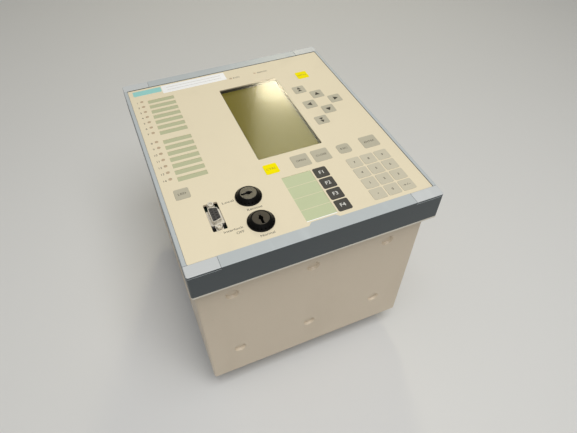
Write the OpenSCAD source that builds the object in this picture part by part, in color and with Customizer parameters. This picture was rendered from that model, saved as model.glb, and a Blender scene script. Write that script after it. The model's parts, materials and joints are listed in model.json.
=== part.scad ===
// Numerical protection relay for flush panel mounting, half a rack wide.
// It lies on its rear terminals with the operator front facing up (+Z).
// The origin is under the middle of the front, on the surface it rests on.
// Places on the front are given as u from its left edge and v from its top edge.

/* [Front layout] */
// Width of the grey strip left and right of the front
side_strip = 3.5; // [3:0.5:10]
// Height of the grey rail along the top and the bottom
rail_h = 11.5; // [11:0.5:18]
// Gap from the top rail to the display
head_gap = 34.5; // [26:0.5:60]
// Gap from the display down to the command keys
row_gap = 7.2; // [4:0.1:20]
// Gap from the command keys down to the keypad
pad_gap = 6.8; // [4:0.2:20]
// Gap from the keypad down to the bottom rail
foot_gap = 4.6; // [4:0.1:20]
// Gap from the indicator labels to the display
display_gap = 47; // [40:0.5:80]
// Gap from the display to the keypad columns
keys_gap = 9; // [6:0.1:30]
// Margin right of the keypad
right_margin = 16.6; // [14:0.2:40]

/* [Display] */
// Width of the display window
display_w = 64; // [50:1:90]
// Height of the display window
display_h = 119; // [100:1:150]
// Corner radius of the display window
display_r = 1.2; // [1:0.1:4]
// Depth of the clear pane below the front foil
pane_drop = 0.1; // [0.05:0.05:0.3]
// Thickness of the clear pane
pane_t = 1.2; // [0.8:0.1:1.6]
// Wall of the black liner behind the pane
liner_t = 0.6; // [0.5:0.1:0.9]
// Thickness of the liner's flange behind the plate
liner_flange_t = 2.2; // [0.6:0.1:3]
// Width by which flange and module reach past the window
display_overlap = 3; // [2:0.25:3.5]

/* [Indicators] */
// Left edge of the indicator labels
label_left = 20; // [18:0.5:30]
// Width of an indicator label window
led_label_w = 27; // [15:0.5:40]
// Height of an indicator label window
led_label_h = 5.9; // [4:0.1:8]
// Gap between neighbouring label windows
led_label_gap = 3.2; // [2:0.1:5]
// Gap between the two groups of labels
led_group_gap = 8.7; // [6:0.1:20]
// Indicators in a group
led_count = 7; // [1:1:10]
// Gap from the top rail to the first label
led_head = 23.5; // [12:0.5:40]
// Diameter of an indicator lamp
led_d = 3; // [2:0.1:4]
// Gap between a lamp and its label
led_gap = 4.3; // [3:0.1:6]
// Height of a lamp above the middle of its label
led_rise = 2.9; // [0:0.1:3.2]
// Gap from the top rail to the two status lamps
status_head = 16.8; // [8:0.2:20]
// First status lamp, from the left edge of the display
status_left = 18.6; // [10:0.2:30]
// Distance between the two status lamps
status_pitch = 28; // [15:0.5:32]
// Width of a lamp's foot past its lens
lamp_foot = 0.45; // [0.3:0.05:0.6]
// Thickness of a label strip
strip_t = 0.4; // [0.2:0.05:0.8]
// Border of a label strip around its windows
strip_border = 0.9; // [0.5:0.1:1.2]
// Corner radius of a label strip
strip_r = 0.5; // [0.2:0.1:1]
// Corner radius of a label window
label_r = 0.4; // [0.2:0.1:1]

/* [Keys] */
// Width of a key
key_w = 12.8; // [10:0.1:16]
// Height of a key
key_h = 12.6; // [10:0.1:16]
// Gap between neighbouring keys
key_gap = 1.5; // [0.9:0.1:4]
// Corner radius of a key
key_r = 1.5; // [0.5:0.1:3]
// Corner radius of the escape key
escape_r = 3; // [1:0.1:5]
// Corner radius of a function key
fkey_r = 1.6; // [0.5:0.1:4]
// Width of a command key
wide_key_w = 16.4; // [14:0.1:20]
// Height of a command key
wide_key_h = 16; // [14:0.1:20]
// Gap between the two switching keys
wide_key_gap = 4.1; // [1:0.1:8]
// Height by which a key stands above the front foil
key_proud = 0.25; // [0.2:0.05:1.5]
// Gap around a key in its window
key_clear = 0.12; // [0.1:0.01:0.2]
// Width of the lip that holds a key behind the plate
key_lip = 0.25; // [0.15:0.01:0.28]
// Thickness of that lip
key_lip_t = 0.8; // [0.5:0.1:1.5]
// Travel of a key
key_travel = 0.6; // [0.3:0.05:1.2]
// Gap that is left under a pressed key
press_clear = 0.2; // [0.1:0.05:0.4]
// Diameter of a key's stem
stem_d = 3; // [2:0.1:4]
// Width of a switch under a key
switch_w = 6; // [5:0.1:9]
// Height of a switch under a key
switch_h = 3.5; // [2.5:0.1:6]
// Corner radius of a switch
switch_r = 0.5; // [0.2:0.1:1]
// Gap from the top rail to the menu key
menu_head = 33.7; // [20:0.1:50]
// Gap from the menu key to the arrow keys
menu_gap = 12.4; // [2:0.1:20]
// Left edge of the lamp test key
lamp_key_left = 12.8; // [10:0.1:30]
// Left edge of the function labels, from the left edge of the display
fkey_label_left = 10; // [5:0.5:20]
// Width of the function labels
fkey_label_w = 27.6; // [15:0.1:32]
// Gap between the function labels and the function keys
fkey_gap = 1.7; // [1.4:0.1:6]
// Reach of the rail's tongue below the function labels
tongue_h = 3; // [1:0.1:3.6]
// Slant of that tongue's ends
tongue_slant = 3; // [0:0.25:6]

/* [Key locks] */
// Middle of the locks, from the left edge
lock_u = 70.2; // [66:0.2:76]
// Height of the lower lock's middle above the bottom rail
lock_foot = 19.8; // [16:0.2:40]
// Gap between the two locks
lock_gap = 7; // [4.8:0.1:20]
// Diameter of a lock's collar
lock_d = 23; // [21:0.1:27]
// Height of a lock above the foil
lock_h = 4.7; // [3:0.1:10]
// Height of the collar's straight rim
lock_rim_h = 1.2; // [0.8:0.1:2.5]
// Diameter of the collar's upper edge
lock_top_d = 16.2; // [16:0.1:18]
// Diameter of a lock's rotor
rotor_d = 14.4; // [14:0.1:15.4]
// Diameter of a lock's barrel
barrel_d = 18.6; // [17:0.1:19.5]
// Length of a lock's barrel behind the foil
barrel_l = 26; // [20:0.5:40]
// Grooves around the collar
flute_count = 20; // [8:1:30]
// Radius of a groove
flute_r = 0.7; // [0.4:0.05:0.9]
// Radius of the round part of a keyhole
keyhole_r = 2; // [1.5:0.1:3.5]
// Width of a keyhole's slot
keyslot_w = 2; // [1.2:0.1:3]
// Reach of the slot ahead of the rotor's middle
keyslot_ahead = 6.4; // [4:0.1:6.6]
// Reach of the slot behind the rotor's middle
keyslot_behind = 3.2; // [2:0.1:5]
// Depth of a keyhole
keyhole_depth = 14; // [6:0.5:24]
// Direction of the slot in the local lock, at rest
local_angle = 180; // [0:5:355]
// Direction of the slot in the interlock lock, at rest
interlock_angle = 270; // [0:5:355]
// Width across the flats of a lock's nut
nut_af = 24; // [22:0.5:25.5]
// Thickness of a lock's nut
nut_t = 4; // [2:0.25:4.5]
// Width of a contact block
contact_w = 20; // [18:0.5:26]
// Depth of a contact block
contact_h = 16; // [8:0.5:24]
// Corner radius of a contact block
contact_r = 1; // [0.5:0.1:3]
// Diameter of the rotor's tail in the contact block
tail_d = 7.8; // [5:0.1:10]

/* [Service port] */
// Middle of the port, from the left edge
port_u = 37.5; // [32:0.5:46]
// Height of the port's middle above the bottom rail
port_foot = 39; // [24:0.5:50]
// Length of the port's flange
port_l = 30.8; // [28:0.1:36]
// Width of the port's flange
port_w = 11.6; // [11:0.1:14]
// Thickness of the flange
port_flange_t = 1; // [0.6:0.1:1.5]
// Width of the flange's ears, which carry the jack posts
ear_w = 6; // [5.6:0.1:10]
// Corner radius of the port's flange and cut-out
port_r = 1; // [0.5:0.1:2.5]
// Depth of the flange below the foil
port_drop = 1; // [0.5:0.1:4]
// Distance between the two jack posts
jack_pitch = 25; // [23:0.1:28]
// Length of the shell's long side
shell_l = 16.4; // [15:0.1:17]
// Width of the shell
shell_w = 7.9; // [7.5:0.1:8.6]
// Height of the shell above the flange
shell_h = 4.5; // [4:0.1:9]
// Wall of the shell
shell_t = 0.5; // [0.3:0.05:0.8]
// Angle of the shell's slanted sides
shell_slant = 10; // [5:1:14]
// Corner radius of the shell
shell_r = 1.6; // [0.8:0.1:2]
// Border of the flange around the insert's body
insert_border = 0.5; // [0.3:0.1:1]
// Distance between contacts in a row
pin_pitch = 2.77; // [2.5:0.01:2.9]
// Distance between the two rows of contacts
pin_rows = 2.84; // [2.5:0.01:3]
// Diameter of a contact hole
pin_d = 1.2; // [0.8:0.1:1.5]
// Depth of a contact hole
pin_depth = 5; // [3:0.5:7]
// Width across the flats of a jack post
post_af = 4.8; // [4:0.1:5.5]
// Height of a jack post above the flange
post_h = 3.5; // [3:0.1:7]
// Diameter of the threaded hole in a jack post
post_bore = 2.8; // [2:0.1:3]
// Depth of that threaded hole
post_bore_depth = 2.5; // [1:0.1:2.8]

/* [Frame and plate] */
// Depth of the front frame
frame_depth = 27.5; // [20:0.5:40]
// Corner radius of the frame
frame_r = 2; // [2:0.1:6]
// Rounding of the frame's front edges
frame_soft = 0.8; // [0.4:0.1:1.6]
// Corner radius of the frame's opening and of the plate in it
opening_r = 1; // [0.5:0.1:2]
// Width of the ledge that carries the plate
ledge_w = 2.5; // [1.5:0.1:3]
// Wall of the rails around their hollows
rail_wall = 2.5; // [1.5:0.1:3]
// Length of a corner cover
cover_l = 27; // [26:0.5:32]
// Depth of a corner cover's rim
cover_t = 2.5; // [2:0.25:7]
// Gap around a corner cover
cover_gap = 0.2; // [0.1:0.05:0.3]
// Gap under a corner cover's rim, where it is prised off
pry_gap = 0.7; // [0.2:0.1:0.9]
// Length of the legs that hold a corner cover
leg_l = 5; // [3:0.5:9]
// Wall of the screw wells under the covers
well_wall = 1.8; // [1.2:0.1:2]
// Thickness of the floor under the fixing screws
well_floor = 3; // [2:0.1:5]
// Depth of the foil below the rails
foil_drop = 0.5; // [0.2:0.1:1]
// Thickness of the front foil
foil_t = 0.4; // [0.2:0.05:0.6]
// Thickness of the front plate
plate_t = 1.6; // [1.2:0.1:2.4]
// Gap between the plate and the frame
plate_gap = 0.25; // [0.1:0.05:0.5]
// Thickness of every circuit board
board_t = 1.6; // [1:0.1:2.4]
// Diameter of the pillars that carry the operator board
pillar_d = 4; // [3:0.25:5]
// Pillars, from the edge of the opening or of the display
pillar_inset = 4.5; // [4:0.25:6]
// Pillars beside the display, from its upper and its lower end
pillar_end = 29.75; // [20:0.25:45]

/* [Case] */
// Depth of the case behind the panel
case_depth = 172; // [150:1:220]
// Overhang of the front past the case, left and right
side_overhang = 2.5; // [2:0.1:4]
// Overhang of the front past the case, top and bottom
end_overhang = 11; // [11:0.1:13]
// Thickness of the case sheet
case_t = 1.5; // [1:0.1:2]
// Outside bend radius of the case sheet
case_r = 2.5; // [2.2:0.1:5]
// Width of the lip that carries the rear plate
rear_lip = 8; // [7.5:0.25:12]
// Outer screws of the rear plate, from the ends of the terminal blocks
rear_screw_end = 6; // [4:0.5:10]
// Thickness of the rear plate
rear_t = 2; // [1.5:0.1:3]
// Diameter of a pressed dimple
dimple_d = 12.5; // [11:0.1:16]
// Diameter of a dimple's floor
dimple_floor_d = 9.4; // [8:0.1:10.5]
// Depth of a dimple
dimple_depth = 2.4; // [2:0.1:3]
// First row of dimples behind the front
dimple_front = 58; // [50:0.5:70]
// Distance between the two rows of dimples
dimple_rows = 98.8; // [70:0.2:110]
// Distance between neighbouring dimples, boards and terminal columns
column_pitch = 76.2; // [70:0.1:79]
// Offset of the middle column from the middle of the case
column_offset = -2.3; // [-6:0.1:2]
// Thickness of the panel flange
flange_t = 2; // [1.5:0.1:4]
// Panel bolts, from the side of the flange
bolt_edge_x = 9.25; // [8.8:0.05:10]
// Panel bolts, from the end of the flange
bolt_edge_y = 5.1; // [4.7:0.05:6]
// Width of a slot for a panel bolt
bolt_d = 5.4; // [4.2:0.1:6]
// Length of a slot for a panel bolt
bolt_slot = 8; // [6:0.1:9]
// Fixing screws of the frame, from its side
fix_edge_x = 21.5; // [20.5:0.1:22]

/* [Boards] */
// Width of a card guide
guide_w = 14; // [12:0.5:20]
// Thickness of a card guide's base
guide_base = 3; // [2.5:0.1:5]
// Height of a card guide's ribs
guide_rib = 5; // [3:0.5:9]
// Length of a card guide past its studs
guide_reach = 14; // [8:0.5:20]
// Diameter of the studs behind the dimples, which hold the card guides
stud_d = 3; // [2:0.1:5]
// Gap between a board and its guide
board_clear = 0.15; // [0.1:0.05:0.3]
// Length of a board past its guides, toward the front
board_reach = 8; // [0:0.5:8]
// Width of the ribbon from the operator board to the processor board
ribbon_w = 40; // [20:1:60]
// Thickness of that ribbon
ribbon_t = 0.8; // [0.5:0.1:1.5]

/* [Parts on the boards] */
// Width of a processor chip
chip_w = 24; // [12:1:32]
// Height of a processor chip
chip_h = 3; // [1:0.5:5]
// Distance between neighbouring chips
chip_pitch = 40; // [34:1:44]
// Middle of the row of chips
chip_y = -20; // [-30:1:-16]
// Width of a memory chip
memory_w = 10; // [6:1:16]
// Length of a memory chip
memory_l = 22; // [12:1:26]
// Height of a memory chip
memory_h = 4; // [1:0.5:6]
// Distance between neighbouring memory chips
memory_pitch = 20; // [18:1:22]
// Middle of the row of memory chips
memory_y = 75; // [66:1:80]
// Drop of the memory chips behind the middle of the board
memory_drop = 15; // [13:1:40]
// Diameter of the backup cell
cell_d = 14; // [8:1:20]
// Height of the backup cell
cell_h = 25; // [10:1:30]
// Rise of the backup cell ahead of the middle of the board
cell_rise = 30; // [26:1:50]
// Width of an output relay
coil_w = 12; // [8:1:16]
// Length of an output relay
coil_l = 29; // [16:1:34]
// Height of an output relay
coil_h = 16; // [8:1:24]
// Distance between neighbouring output relays
coil_pitch = 20; // [18:1:22]
// Output relays in a row
coil_count = 9; // [1:1:9]
// Distance between the two rows of output relays
coil_rows = 40; // [36:1:60]
// Length of the transformer
core_l = 46; // [30:1:56]
// Depth of the transformer
core_d = 40; // [24:1:50]
// Height of the transformer
core_h = 24; // [12:1:30]
// Middle of the transformer
core_y = 60; // [54:1:80]
// Length of the heat sink
sink_l = 60; // [30:1:64]
// Depth of the heat sink
sink_d = 8; // [4:1:16]
// Height of the heat sink
sink_h = 22; // [10:1:30]
// Middle of the heat sink
sink_y = -70; // [-76:1:-66]
// Diameter of a smoothing capacitor
can_d = 18; // [10:1:22]
// Height of a smoothing capacitor
can_h = 26; // [10:1:30]
// Distance between neighbouring capacitors
can_pitch = 25; // [23:1:28]
// Middle of the group of capacitors
can_y = -7.5; // [-10:0.5:-5]
// Distance between the two rows of capacitors
can_rows = 32; // [24:1:50]

/* [Terminals] */
// Height of the terminals behind the case
terminal_h = 30; // [24:0.5:40]
// Width of a terminal block
terminal_w = 44; // [36:0.5:52]
// Length of a terminal block
terminal_l = 94; // [80:1:98]
// Gap between the two rows of blocks
terminal_gap = 8; // [4:0.5:14]
// Width of the ridge along a block
ridge_w = 14; // [8:0.5:18]
// Drop of the screw ledges below the ridge
ledge_drop = 12; // [10:0.5:16]
// Screws on a ledge
terminal_count = 6; // [2:1:8]
// Thickness of a barrier between screws
barrier_t = 1.6; // [1:0.1:2.5]
// Height of a barrier
barrier_h = 3.5; // [2.7:0.1:4]
// Diameter of a terminal screw's head
terminal_head_d = 7; // [5:0.1:8]
// Height of a terminal screw's head
terminal_head_h = 2.6; // [2:0.1:3.5]
// Diameter of a terminal screw's shank
terminal_shank_d = 3.8; // [3:0.1:4.5]
// Length of a terminal screw's shank
terminal_shank_l = 8; // [5:0.5:12]
// Border of a block around its neck through the rear plate
neck_border = 4; // [3:0.5:8]
// Reach of that neck past the rear plate, up to its board
neck_l = 0.7; // [0.5:0.1:3]
// Corner radius of that neck
neck_r = 1; // [0.5:0.1:3]
// Width of the slot in a terminal screw
slot_w = 1; // [0.6:0.1:1.6]
// Depth of the slot in a terminal screw
slot_depth = 1.2; // [0.6:0.1:1.6]
// Angle at which a terminal screw's slot stands
slot_angle = 35; // [0:5:90]
// Diameter of the earth stud
earth_d = 5; // [4:0.5:8]
// Free length of the earth stud
earth_l = 12; // [8:0.5:16]
// Width across the flats of the earth stud's foot
earth_af = 8; // [7:0.5:13]
// Height of the earth stud's foot
earth_foot = 4; // [2:0.5:6]

/* [Screws] */
// Diameter of a case screw's head
screw_head_d = 5.5; // [4.5:0.1:6]
// Height of a case screw's head
screw_head_h = 1.9; // [1.5:0.1:2]
// Diameter of a case screw's shank
screw_d = 2.9; // [2.4:0.1:3.1]
// Length of the cross in a case screw's head
cross_l = 3.3; // [2:0.1:4]
// Width of that cross
cross_w = 0.8; // [0.5:0.1:1.2]
// Depth of that cross
cross_depth = 1.1; // [0.6:0.1:1.4]
// Gap around every shank, stud, stem, barrel and neck in its hole
hole_clear = 0.15; // [0.1:0.01:0.25]
// Gap between parts that turn in each other
turn_clear = 0.05; // [0.03:0.01:0.09]
// Gap between faces that lie on each other
seat_clear = 0.05; // [0.02:0.01:0.1]

/* [Hidden] */
$fn = 48;
// Extra length of a cut past the face it opens
cut = 1;
// Facets of the rounding along the frame's front edges
soft_steps = 4;

// Colours of the pieces
case_beige = "#b9ad96";
frame_grey = "#636e71";
foil_beige = "#e6dabe";
key_beige = "#beb7a0";
key_yellow = "#f2e914";
key_dark = "#4b4b48";
label_green = "#b7be98";
bare_steel = "#a9abac";
black_plastic = "#232426";
board_green = "#2f5b40";
pane_clear = "#d8dcc8";
display_olive = "#77703a";
lamp_red = "#8e2f26";
guide_cream = "#d9d6cc";
terminal_black = "#2c2f33";
stud_brass = "#c9a558";

// Layout across the front
pad_w = 3 * key_w + 2 * key_gap;
pad_h = 4 * key_h + 3 * key_gap;
display_left = label_left + led_label_w + display_gap;
display_right = display_left + display_w;
pad_left = display_right + keys_gap;
pad_right = pad_left + pad_w;
face_w = pad_right + right_margin;

// Layout down the front
led_pitch = led_label_h + led_label_gap;
led_group_h = led_count * led_pitch - led_label_gap;
led_top = rail_h + led_head;
led_bottom = led_top + 2 * led_group_h + led_group_gap;
display_top = rail_h + head_gap;
command_top = max(display_top + display_h, led_bottom) + row_gap;
command_v = command_top + wide_key_h / 2;
pad_top = command_top + wide_key_h + pad_gap;
face_h = pad_top + pad_h + foot_gap + rail_h;
menu_top = rail_h + menu_head;
nav_top = menu_top + key_h + menu_gap;
fkey_label_u = display_left + fkey_label_left + fkey_label_w / 2;
fkey_u = display_left + fkey_label_left + fkey_label_w + fkey_gap + key_w / 2;
display_u = (display_left + display_right) / 2;
display_v = display_top + display_h / 2;
lock_pitch = lock_d + lock_gap;
lock_v = [for (i = [1, 0]) face_h - rail_h - lock_foot - i * lock_pitch];
port_v = face_h - rail_h - port_foot;
opening_w = face_w - 2 * side_strip;
opening_h = face_h - 2 * rail_h;

// Levels from the rear to the front
flange_z = terminal_h + case_depth;
frame_z = flange_z + flange_t;
face_z = frame_z + frame_depth;
foil_top = face_z - foil_drop;
plate_top = foil_top - foil_t;
plate_z = plate_top - plate_t;
lip_top = plate_z - seat_clear;
lip_z = lip_top - key_lip_t;
switch_top = lip_z - key_travel - press_clear;
board_top = switch_top - switch_h;
board_z = board_top - board_t;
stem_z = board_top + key_travel + press_clear;
pane_top = foil_top - pane_drop;
pane_z = pane_top - pane_t;
liner_z = plate_z - liner_flange_t;
port_flange_z = foil_top - port_drop - port_flange_t;
barrel_z = foil_top - barrel_l;
rotor_z = barrel_z + seat_clear;
rear_in = terminal_h + rear_t;

// Case, boards and terminals
case_w = face_w - 2 * side_overhang;
case_h = face_h - 2 * end_overhang;
inner_w = case_w - 2 * case_t;
inner_h = case_h - 2 * case_t;
dimple_z = [for (i = [0, 1]) face_z - dimple_front - i * dimple_rows];
column_x = [for (i = [-1, 0, 1]) column_offset + i * column_pitch];
dimple_in = case_t + dimple_depth;
guide_y = case_h / 2 - dimple_in;
board_y = guide_y - guide_base - board_clear;
guide_z0 = dimple_z[1] - guide_reach;
guide_z1 = dimple_z[0] + guide_reach;
neck_end = rear_in + neck_l;
board_front = guide_z1 + board_reach;
card_mid = (neck_end + board_front) / 2;
block_y = (terminal_l + terminal_gap) / 2;
terminal_ledge_z = ledge_drop;
terminal_pitch = terminal_l / terminal_count;
terminal_row_x = (ridge_w + terminal_w) / 4;
screw_l = well_floor + flange_t - seat_clear;
rear_screw_x = inner_w / 2 - rear_lip / 2;
rear_screw_y = terminal_l + terminal_gap / 2 + rear_screw_end;
fix_x = face_w / 2 - fix_edge_x;
bolt_x = face_w / 2 - bolt_edge_x;
bolt_y = face_h / 2 - bolt_edge_y;
well_y0 = face_h / 2 - rail_h + well_wall;
well_y1 = face_h / 2 - well_wall;
well_x0 = face_w / 2 - cover_l + well_wall;
well_x1 = face_w / 2 - side_strip;
well_step = fix_x + screw_head_d / 2 + well_wall;
fix_y = (well_y0 + well_y1) / 2;
well_floor_z = frame_z + well_floor;
cover_z = face_z - cover_t;
earth_x = (column_x[0] + column_x[1]) / 2;

// A point on the front from its distances to the left and the top edge
function on_face(u, v) = [u - face_w / 2, face_h / 2 - v, 0];
function pad_u(i) = pad_left + key_w / 2 + i * (key_w + key_gap);
function pad_v(j) = pad_top + key_h / 2 + j * (key_h + key_gap);
function nav_v(j) = nav_top + key_h / 2 + j * (key_h + key_gap);
function led_v(i) = led_top + led_label_h / 2 + (i % led_count) * led_pitch
  + floor(i / led_count) * (led_group_h + led_group_gap);
function plain_key(name, u, v, colour = key_beige, r = key_r) = [name, u, v, key_w, key_h, r, colour];
function wide_key(name, u) = [name, u, command_v, wide_key_w, wide_key_h, key_r, key_beige];

led_u = label_left - led_gap - led_d / 2;
led_places = concat(
  [for (i = [0 : 2 * led_count - 1]) [led_u, led_v(i) - led_rise]],
  [for (i = [0, 1]) [display_left + status_left + i * status_pitch, rail_h + status_head]]
);
led_group_v = [for (i = [0, 1]) led_top + led_group_h / 2 + i * (led_group_h + led_group_gap)];
pillar_places = concat(
  [for (x = [-1, 1], y = [-1, 1])
    [x * (opening_w / 2 - ledge_w - pillar_inset), y * (opening_h / 2 - ledge_w - pillar_inset), 0]],
  [for (v = [pillar_end, display_h - pillar_end])
    on_face(display_left - 2 * pillar_inset, display_top + v)]
);
pad_names = ["7", "8", "9", "4", "5", "6", "1", "2", "3", "point", "0", "sign"];

// Every key: name, place, size, corner radius and colour
KEYS = concat(
  [
    plain_key("key_menu", pad_u(1), menu_top + key_h / 2, key_yellow),
    plain_key("key_page_up", pad_u(0), nav_v(0)),
    plain_key("key_up", pad_u(1), nav_v(1)),
    plain_key("key_left", pad_u(0), nav_v(2)),
    plain_key("key_right", pad_u(2), nav_v(2)),
    plain_key("key_down", pad_u(1), nav_v(3)),
    plain_key("key_page_down", pad_u(0), nav_v(4)),
    plain_key("key_lamp", lamp_key_left + key_w / 2, command_v),
    plain_key("key_ctrl", display_left + key_w / 2, command_v, key_yellow),
    wide_key("key_open", display_right - wide_key_gap - 1.5 * wide_key_w),
    wide_key("key_close", display_right - wide_key_w / 2),
    plain_key("key_escape", pad_u(0), command_v, r = escape_r),
    wide_key("key_enter", pad_right - wide_key_w / 2)
  ],
  [for (i = [0 : 3]) plain_key(str("key_f", i + 1), fkey_u, pad_v(i), key_dark, fkey_r)],
  [for (i = [0 : 11]) plain_key(str("key_", pad_names[i]), pad_u(i % 3), pad_v(floor(i / 3)))]
);

module rounded_rect(w, h, r) {
  square([w - 2 * r, h], center = true);
  square([w, h - 2 * r], center = true);
  for (x = [-1, 1], y = [-1, 1])
    translate([x * (w / 2 - r), y * (h / 2 - r)]) circle(r);
}

// A rounded rectangle between two levels
module slab(w, h, r, z0, z1) {
  translate([0, 0, z0]) linear_extrude(z1 - z0) rounded_rect(w, h, r);
}

module block(x0, x1, y0, y1, z0, z1) {
  translate([x0, y0, z0]) cube([x1 - x0, y1 - y0, z1 - z0]);
}

module rod(d, z0, z1) {
  translate([0, 0, z0]) cylinder(d = d, h = z1 - z0);
}

module hex(af, z0, z1) {
  translate([0, 0, z0]) cylinder(d = af / cos(30), h = z1 - z0, $fn = 6);
}

// Copies its children, drawn at the right-hand top corner, to all four corners
module at_corners() {
  for (x = [0, 1], y = [0, 1]) mirror([x, 0, 0]) mirror([0, y, 0]) children();
}

module at_locks() {
  for (v = lock_v) translate(on_face(lock_u, v)) children();
}

// Copies its children, drawn on a wall that faces -Y, to the dimples of both walls
module at_dimples() {
  for (x = column_x, z = dimple_z, top = [0, 1])
    mirror([0, top, 0]) translate([x, -case_h / 2, z]) rotate([-90, 0, 0]) children();
}

module at_blocks() {
  for (x = column_x, y = [-block_y, block_y]) translate([x, y, 0]) children();
}

module at_terminals() {
  at_blocks() for (side = [-1, 1], i = [0 : terminal_count - 1])
    translate([side * terminal_row_x, (i + 0.5) * terminal_pitch - terminal_l / 2, 0]) children();
}

module at_rear_screws() {
  for (x = [-1, 1], y = [-1, 0, 1])
    translate([x * rear_screw_x, y * rear_screw_y, terminal_h]) children();
}

module case_shell() {
  color(case_beige) difference() {
    union() {
      difference() {
        slab(case_w, case_h, case_r, terminal_h, frame_z);
        slab(inner_w, inner_h, case_r - case_t, terminal_h - cut, rear_in);
        slab(inner_w - 2 * rear_lip, inner_h - 2 * rear_lip, case_r - case_t,
          terminal_h, frame_z);
        slab(inner_w, inner_h, case_r - case_t, rear_in + case_t, frame_z + cut);
      }
      at_dimples() translate([0, 0, case_t])
        cylinder(d1 = dimple_d + case_t, d2 = dimple_floor_d + case_t, h = dimple_depth);
      at_dimples() rod(stud_d, dimple_in - case_t / 2, dimple_in + guide_base - seat_clear);
    }
    at_dimples() cylinder(d1 = dimple_d, d2 = dimple_floor_d, h = dimple_depth);
    at_rear_screws() rod(screw_d + 2 * hole_clear, 0, rear_t + case_t + cut);
  }
}

module rear_plate() {
  color(case_beige) difference() {
    slab(inner_w - 2 * plate_gap, inner_h - 2 * plate_gap, case_r - case_t, terminal_h, rear_in);
    at_blocks() slab(terminal_w - 2 * neck_border + 2 * hole_clear,
      terminal_l - 2 * neck_border + 2 * hole_clear, neck_r, terminal_h - cut, rear_in + cut);
    at_rear_screws() rod(screw_d + 2 * hole_clear, -cut, rear_t + cut);
    translate([earth_x, 0, 0]) rod(earth_d + 2 * hole_clear, terminal_h - cut, rear_in + cut);
  }
}

module panel_flange() {
  color(bare_steel) difference() {
    slab(face_w, face_h, frame_r, flange_z, frame_z);
    slab(case_w + 2 * seat_clear, case_h + 2 * seat_clear, case_r, flange_z - cut, frame_z + cut);
    at_corners() {
      for (end = [-1, 1]) translate([bolt_x + end * (bolt_slot - bolt_d) / 2, bolt_y, 0])
        rod(bolt_d, flange_z - cut, frame_z + cut);
      block(bolt_x - (bolt_slot - bolt_d) / 2, bolt_x + (bolt_slot - bolt_d) / 2,
        bolt_y - bolt_d / 2, bolt_y + bolt_d / 2, flange_z - cut, frame_z + cut);
      translate([fix_x, fix_y, 0]) rod(screw_d + 2 * hole_clear, flange_z - cut, frame_z + cut);
    }
  }
}

// Outside of the front frame with its covers on: a slab with rounded front edges
module frame_outside() {
  hull() for (a = [0 : 90 / soft_steps : 90]) {
    inset = frame_soft * (1 - cos(a));
    slab(face_w - 2 * inset, face_h - 2 * inset, frame_r - inset,
      frame_z, face_z - frame_soft * (1 - sin(a)));
  }
}

// Room of a corner cover, or the cover itself where it is drawn with its gaps
module cover_room(gap, under) {
  block(face_w / 2 - cover_l + gap, face_w / 2 + cut, face_h / 2 - rail_h + gap, face_h / 2 + cut,
    cover_z + under, face_z + cut);
}

module screw_well() {
  block(well_x0, well_x1, well_y0, well_y1, well_floor_z, face_z);
  block(well_step, well_x1, well_y0, well_y1, frame_z - cut, face_z);
  translate([fix_x, fix_y, 0]) rod(screw_d + 2 * hole_clear, frame_z - cut, face_z);
}

module front_frame() {
  rail_y = (face_h - rail_h) / 2;
  hollow_h = rail_h - 2 * rail_wall;
  hollow_x = well_x0 - 2 * rail_wall;
  color(frame_grey) {
    difference() {
      frame_outside();
      slab(opening_w, opening_h, opening_r, plate_z, face_z + cut);
      slab(opening_w - 2 * ledge_w, opening_h - 2 * ledge_w, opening_r, frame_z - cut, face_z);
      at_corners() {
        cover_room(0, 0);
        screw_well();
      }
      for (y = [-1, 1]) translate([0, y * rail_y, 0])
        block(-hollow_x, hollow_x, -hollow_h / 2, hollow_h / 2, frame_z - cut, cover_z);
    }
    translate(on_face(fkey_label_u, face_h - rail_h)) translate([0, 0, foil_top])
      linear_extrude(face_z - foil_top) polygon([
        [-fkey_label_w / 2, -tongue_h], [fkey_label_w / 2, -tongue_h], [fkey_label_w / 2, 0],
        [fkey_label_w / 2 - tongue_slant, tongue_h], [tongue_slant - fkey_label_w / 2, tongue_h],
        [-fkey_label_w / 2, 0]
      ]);
  }
}

module corner_covers() {
  color(frame_grey) {
    intersection() {
      frame_outside();
      at_corners() cover_room(cover_gap, pry_gap);
    }
    at_corners() for (y = [well_y0 + cover_gap, well_y1 - cover_gap - well_wall / 2])
      block(well_step, well_step + well_wall, y, y + well_wall / 2, cover_z - leg_l, cover_z + cut);
  }
}

// Openings that the plate and the foil share
module front_openings(z0, z1) {
  for (k = KEYS) translate(on_face(k[1], k[2]))
    slab(k[3] + 2 * key_clear, k[4] + 2 * key_clear, k[5] + key_clear, z0, z1);
  for (p = led_places) translate(on_face(p[0], p[1])) rod(led_d + 2 * hole_clear, z0, z1);
  translate(on_face(display_u, display_v)) slab(display_w, display_h, display_r, z0, z1);
  at_locks() rod(barrel_d + 2 * hole_clear, z0, z1);
  translate(on_face(port_u, port_v))
    slab(port_w + 2 * plate_gap, port_l + 2 * plate_gap, port_r, z0, z1);
}

// Room of the label strips, or the strips where they are drawn with a gap
module strip_rooms(gap, z0, z1) {
  for (v = led_group_v) translate(on_face(label_left + led_label_w / 2, v))
    slab(led_label_w + 2 * strip_border - 2 * gap, led_group_h + 2 * strip_border - 2 * gap,
      strip_r, z0, z1);
  translate(on_face(fkey_label_u, pad_top + pad_h / 2))
    slab(fkey_label_w + 2 * strip_border - 2 * gap, pad_h + 2 * strip_border - 2 * gap, strip_r,
      z0, z1);
}

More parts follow.
